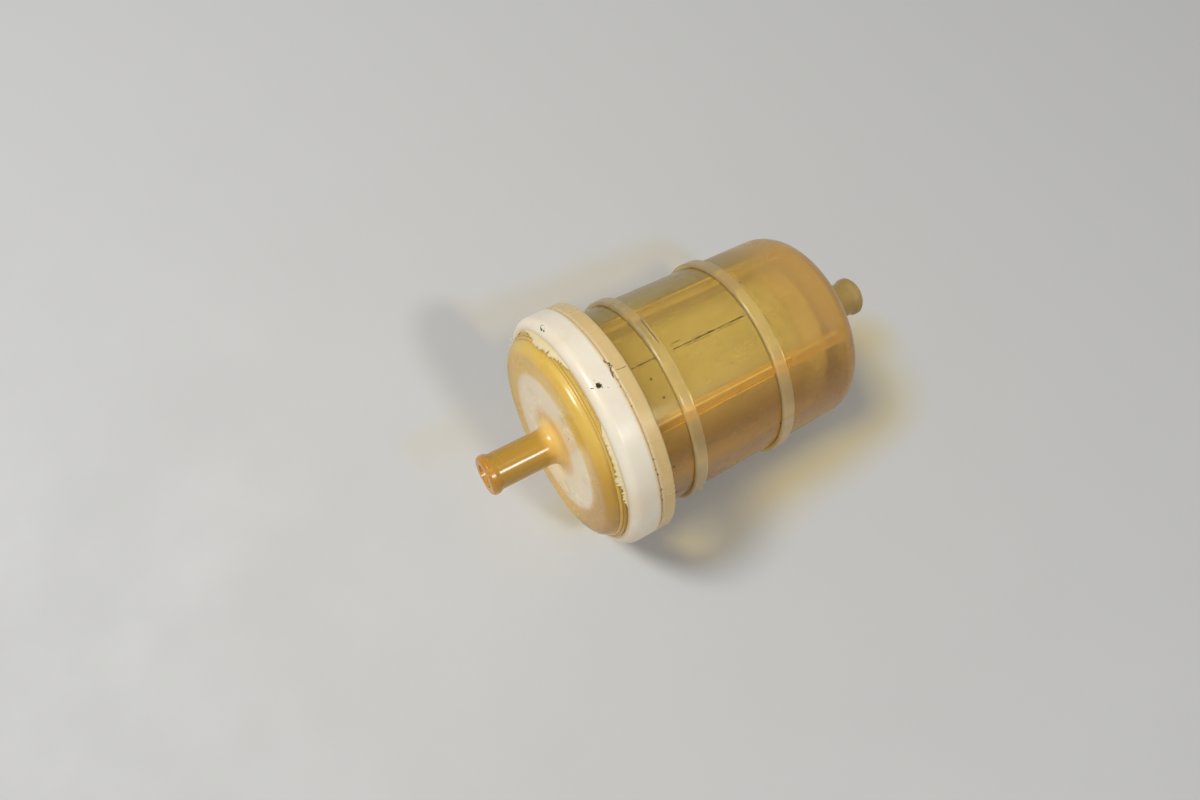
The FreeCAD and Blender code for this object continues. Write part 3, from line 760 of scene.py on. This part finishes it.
def hair(name, degrees, lean, length):
    """A thin curling hair that leaves the ring's front at this angle."""
    outward = round_axis(0, 1, math.radians(degrees))
    sideways = round_axis(0, 1, math.radians(degrees + 90))
    sides = [2 * math.pi * k / HAIR_SIDES for k in range(HAIR_SIDES)]
    loops = []
    for share in (step / HAIR_STEPS for step in range(HAIR_STEPS + 1)):
        bend = math.sin(share * 3.0) * 0.25 * length
        middle = Vector((ring_front + TUCKED_IN - 0.85 * length * share, 0, 0))
        middle += outward * (HAIR_ROOT + 0.35 * length * share * (1 - 0.5 * share))
        middle += sideways * (lean * length * share + bend)
        thin = HAIR_THICK * (1.15 - share)
        loops.append([
            middle + thin * (outward * math.cos(side) + sideways * math.sin(side)) for side in sides
        ])
    return skin(name, loops, flash_cream)


for number, (degrees, lean, length) in enumerate(HAIRS, start=1):
    hair(f"flash_hair_{number}", degrees, lean, length * MM)

# %% [markdown]
# ## Parting ridge
#
# The barrel's mould opened in the XZ plane, and left a hair-thin ridge along the top where its halves met.
# The dirt above follows it. It is a low strip that tapers with the barrel, from the flange to the first
# hoop and from there to the second.

# %% The ridge on top of the barrel
HOOP_FIRST, HOOP_SECOND, HOOP_WIDTH = 7.4 * MM, 27.0 * MM, 2.6 * MM
RIDGE_STEPS = 60
RIDGE_HEIGHT, RIDGE_SUNK = 0.035 * MM, 0.02 * MM
RIDGE_FOOT, RIDGE_CREST = 0.10 * MM, 0.04 * MM
ridge_amber = plain("ridge_amber", colour(176, 150, 84), colour(148, 124, 62), rough=0.3, per_metre=700)
cover_with_dirt(ridge_amber, dashes_on_top(ridge_amber, 4.0 * MM, 28.0 * MM, 0.30 * MM))


def parting_ridge(name, start, end):
    """A ridge between two distances behind the flange."""
    loops = []
    for step in range(RIDGE_STEPS + 1):
        behind = start + (end - start) * step / RIDGE_STEPS
        wall = BARREL_RADIUS - behind * BARREL_TAPER
        sway = 0.05 * MM * noise.noise(Vector((behind / MM * 0.7, 3, 0)))
        height = RIDGE_HEIGHT * (1 + 0.5 * noise.noise(Vector((behind / MM * 2.1, 7, 0))))
        foot, crest = wall - RIDGE_SUNK, wall + height
        outline = ((-RIDGE_FOOT, foot), (-RIDGE_CREST, crest), (RIDGE_CREST, crest), (RIDGE_FOOT, foot))
        loops.append([Vector((flange_rear + behind, sway + aside, up)) for aside, up in outline])
    piece = skin(name, loops, ridge_amber)
    return piece


parting_ridge("parting_ridge_front", 0.3 * MM, HOOP_FIRST)
parting_ridge("parting_ridge_middle", HOOP_FIRST + HOOP_WIDTH, HOOP_SECOND)

# %% [markdown]
# ## Floor
#
# The filter lies on a plain pale floor and touches it with the flange's rim and the far hoop, so its axis
# tips down towards the outlet. The solid model stays level, and the floor is tilted instead, by the least
# slope from the rim to any point of the housing behind it.

# %% Slope of the floor
def resting_slope():
    """Rise per metre of a floor that touches the flange's rim and the barrel behind it."""
    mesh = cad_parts["outlet_housing"].data
    points = np.empty(len(mesh.vertices) * 3)
    mesh.vertices.foreach_get("co", points)
    points = points.reshape(-1, 3)
    behind = points[points[:, 0] > flange_rear + 5 * MM]
    return float(((behind[:, 2] + flange_radius) / (behind[:, 0] - flange_rear)).min())


tilt = math.atan(resting_slope())
print(f"the axis tips {math.degrees(tilt):.1f} degrees towards the outlet")

# %% Floor that the filter rests on
FLOOR_SIZE = 6.0
FLOOR_GAP = 0.05 * MM
FLOOR_PALE, FLOOR_DEEP = (0.60, 0.60, 0.59, 1.0), (0.57, 0.57, 0.56, 1.0)
bpy.ops.mesh.primitive_plane_add(size=FLOOR_SIZE, location=(flange_rear, 0, -flange_radius - FLOOR_GAP))
floor = bpy.context.object
floor.name = "floor"
floor.rotation_euler = (0, -tilt, 0)
floor_finish = Finish("pale_floor")
floor_grain = floor_finish.cloud(35, detail=4.0)
floor_finish.set(Base_Color=floor_finish.mix(floor_grain, FLOOR_PALE, FLOOR_DEEP))
floor_finish.set(Roughness=floor_grain.ramp(0.3, 0.7, 0.55, 0.68))
floor.data.materials.append(floor_finish.material)
print(f"the floor is {FLOOR_SIZE:.0f} m square")

# %% [markdown]
# ## Light
#
# One broad lamp above the inlet gives the soft streaks along the ring and the cap's corner, and the shadow
# of the filter falls beside its outlet. A weaker one from the front lifts the shade and draws the streak on
# the spigot. A dim, even room fills in the rest. The Standard view keeps the white nylon's colour as it is
# given.

# %% Light
def soft_lamp(name, place, size, power):
    """A round lamp of this size in metres and power in watts, aimed at the middle of the filter."""
    data = bpy.data.lights.new(name, "AREA")
    data.shape, data.size, data.energy = "DISK", size, power
    lamp = bpy.data.objects.new(name, data)
    lamp.location = place
    lamp.rotation_euler = (-Vector(place)).to_track_quat("-Z", "Y").to_euler()
    bpy.context.scene.collection.objects.link(lamp)
    print(f"{name} lamp: {lamp.location.length:.2f} m away, {power} W")


soft_lamp("overhead", place=(-0.36, 0.20, 0.54), size=0.17, power=2.8)
soft_lamp("front", place=(0.10, -0.40, 0.56), size=0.08, power=1.2)
world = bpy.data.worlds.new("room")
world.use_nodes = True
room_light = world.node_tree.nodes["Background"].inputs
room_light["Color"].default_value = (1.0, 0.98, 0.95, 1.0)
room_light["Strength"].default_value = 0.24
bpy.context.scene.world = world
bpy.context.scene.view_settings.view_transform = "Standard"

# %% [markdown]
# ## Camera
#
# The camera looks down on the inlet end from close by, which makes the cap look larger than the outlet. It
# is placed by its direction from the filter, a roll about its own axis and a distance, so it is easy to
# move.

# %% Camera
CAMERA_AZIMUTH, CAMERA_ELEVATION, CAMERA_ROLL = (math.radians(d) for d in (-48.2, 65.7, 19.5))
CAMERA_DISTANCE = 192.9 * MM
CAMERA_AIM = Vector((seam + 4.5 * MM, 4.6 * MM, -3.9 * MM))
FOCAL_LENGTH, SENSOR_WIDTH = 30, 36
CLOSEST_SEEN = 5 * MM


def place_camera():
    level = math.cos(CAMERA_ELEVATION)
    sideways, forward = math.sin(CAMERA_AZIMUTH), math.cos(CAMERA_AZIMUTH)
    back = Vector((sideways * level, -forward * level, math.sin(CAMERA_ELEVATION)))
    data = bpy.data.cameras.new("camera")
    data.lens, data.sensor_width, data.clip_start = FOCAL_LENGTH, SENSOR_WIDTH, CLOSEST_SEEN
    camera = bpy.data.objects.new("camera", data)
    roll = Matrix.Rotation(CAMERA_ROLL, 4, back)
    upright = (-back).to_track_quat("-Z", "Y").to_matrix().to_4x4()
    camera.matrix_world = Matrix.Translation(CAMERA_AIM + back * CAMERA_DISTANCE) @ roll @ upright
    bpy.context.scene.collection.objects.link(camera)
    bpy.context.scene.camera = camera
    print("the camera stands at", [round(v / MM) for v in camera.matrix_world.translation], "mm")


place_camera()

# %% [markdown]
